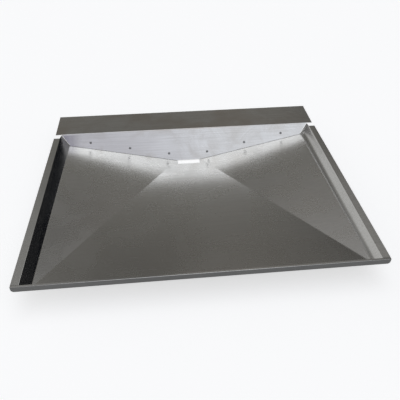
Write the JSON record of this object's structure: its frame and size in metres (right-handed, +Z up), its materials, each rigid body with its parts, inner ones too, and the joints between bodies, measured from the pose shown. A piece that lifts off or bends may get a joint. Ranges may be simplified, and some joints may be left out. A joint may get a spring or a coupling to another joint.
{
  "type": "drip tray",
  "caption": "Shallow folded sheet-steel drip tray with sloping facets, a slot outlet, side flanges and a riveted rear plate with a wide flange.",
  "frame": {"origin": "under the middle of the tray, level with the lowest edge of the outlet slot", "axes": "+Z up through the open top, -Y towards the front lip, +Y towards the wide rear flange, X across the width"},
  "size_m": [0.69, 0.593, 0.0612],
  "materials": {
    "pan_steel": "mill finish sheet, satin, lightly scratched",
    "plate_steel": "mill finish sheet, satin",
    "rivet": "plain zinc-grey rivet",
    "mandrel": "dark broken steel"
  },
  "bodies": {
    "root": {"pan_body": "pan_steel", "rear_plate": "plate_steel", "rivet_left_1": "rivet", "rivet_left_2": "rivet", "rivet_left_3": "rivet", "rivet_right_1": "rivet", "rivet_right_2": "rivet", "rivet_right_3": "rivet", "rivet_mandrel_left_1": "mandrel", "rivet_mandrel_left_2": "mandrel", "rivet_mandrel_left_3": "mandrel", "rivet_mandrel_right_1": "mandrel", "rivet_mandrel_right_2": "mandrel", "rivet_mandrel_right_3": "mandrel"}
  },
  "joints": []
}
